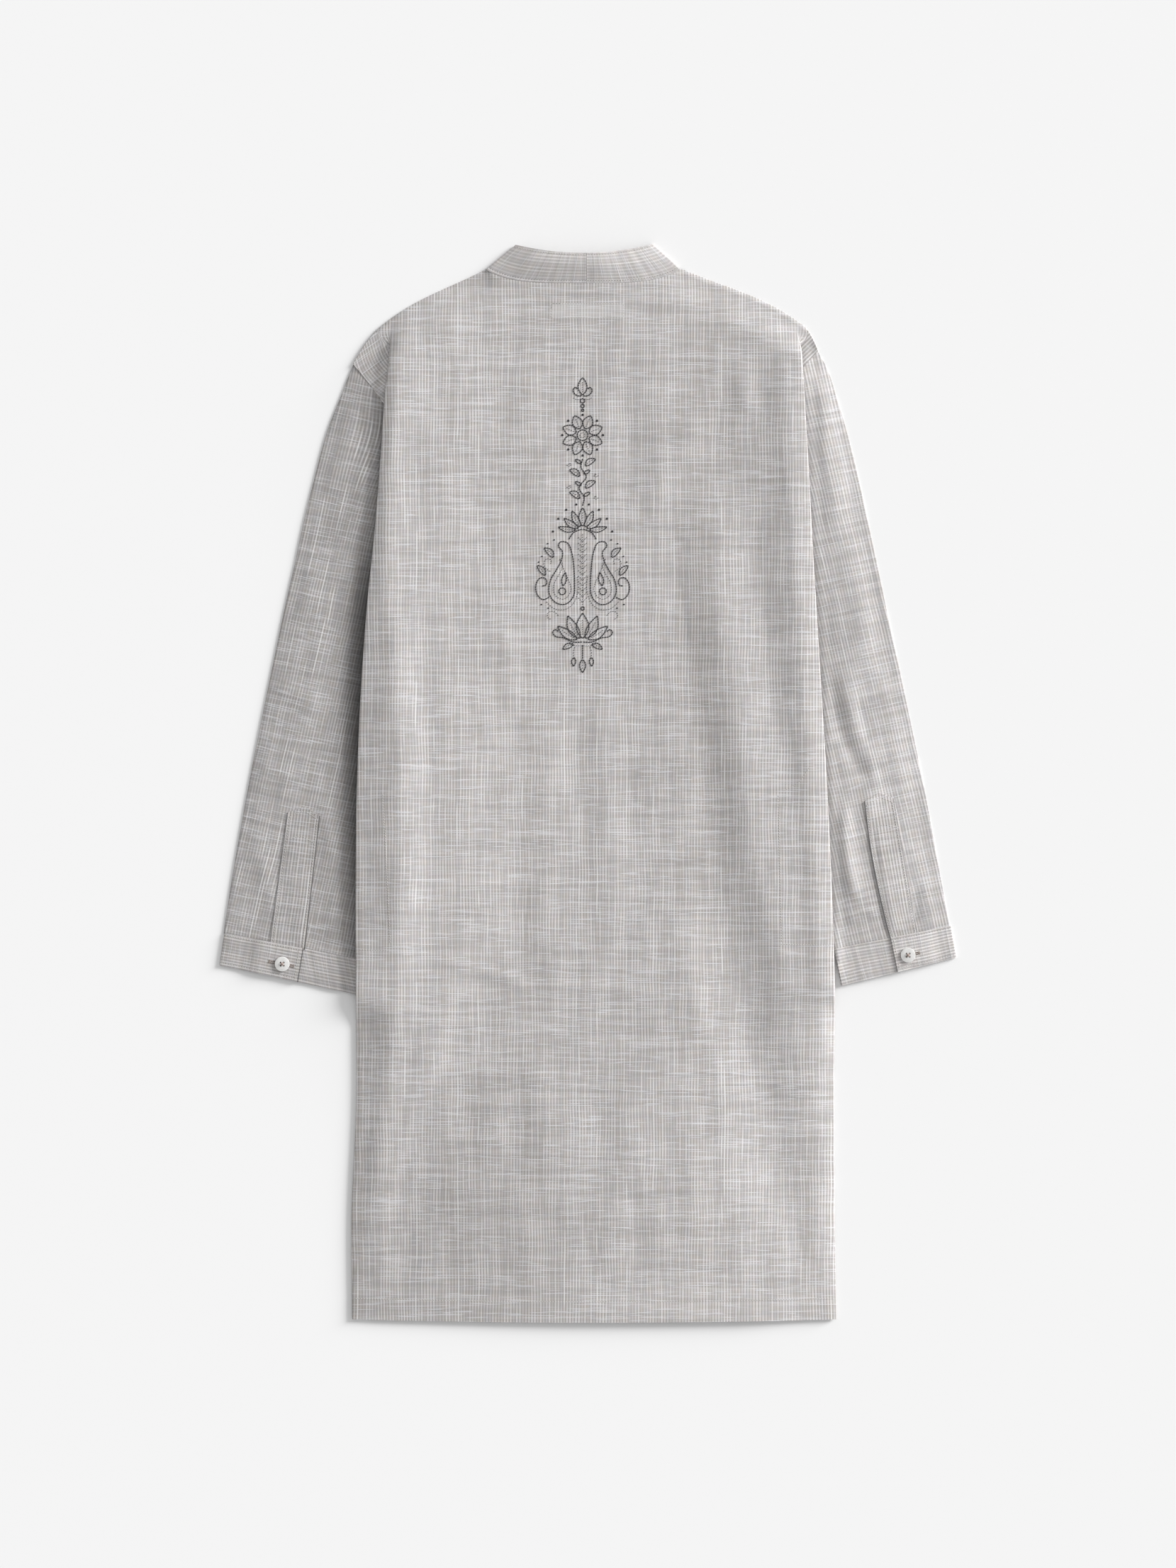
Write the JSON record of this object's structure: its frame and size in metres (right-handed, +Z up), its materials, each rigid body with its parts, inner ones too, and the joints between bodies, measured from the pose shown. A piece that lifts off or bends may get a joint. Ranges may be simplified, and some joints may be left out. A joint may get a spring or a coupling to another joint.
{
  "type": "kurta tunic",
  "caption": "Long-sleeved kurta tunic in pinstriped slub cotton with a band collar and an embroidered back, laid flat with its back up and its sides folded in.",
  "frame": {"origin": "centre of the footprint, on the surface the garment lies on", "axes": "+Y towards the collar, +X towards the wearer's right sleeve, +Z up out of the back panel"},
  "size_m": [0.6979, 1.0197, 0.0097],
  "materials": {
    "slub_cotton": "matt pinstriped slub cotton, taupe-grey and white",
    "label": "matt off-white woven tape, blank",
    "pocketing": "matt plain cotton",
    "button": "polished off-white resin",
    "thread": "charcoal embroidery thread"
  },
  "bodies": {
    "root": {"body_back": "slub_cotton", "body_front": "slub_cotton", "front_placket": "slub_cotton", "collar_band": "slub_cotton", "sleeve_left": "slub_cotton", "sleeve_right": "slub_cotton", "sleeve_placket_left": "slub_cotton", "sleeve_placket_right": "slub_cotton", "cuff_left": "slub_cotton", "cuff_right": "slub_cotton", "cuff_button_left": "button", "cuff_button_right": "button", "label": "label", "pocket_bag_left": "pocketing", "pocket_bag_right": "pocketing"}
  },
  "joints": []
}
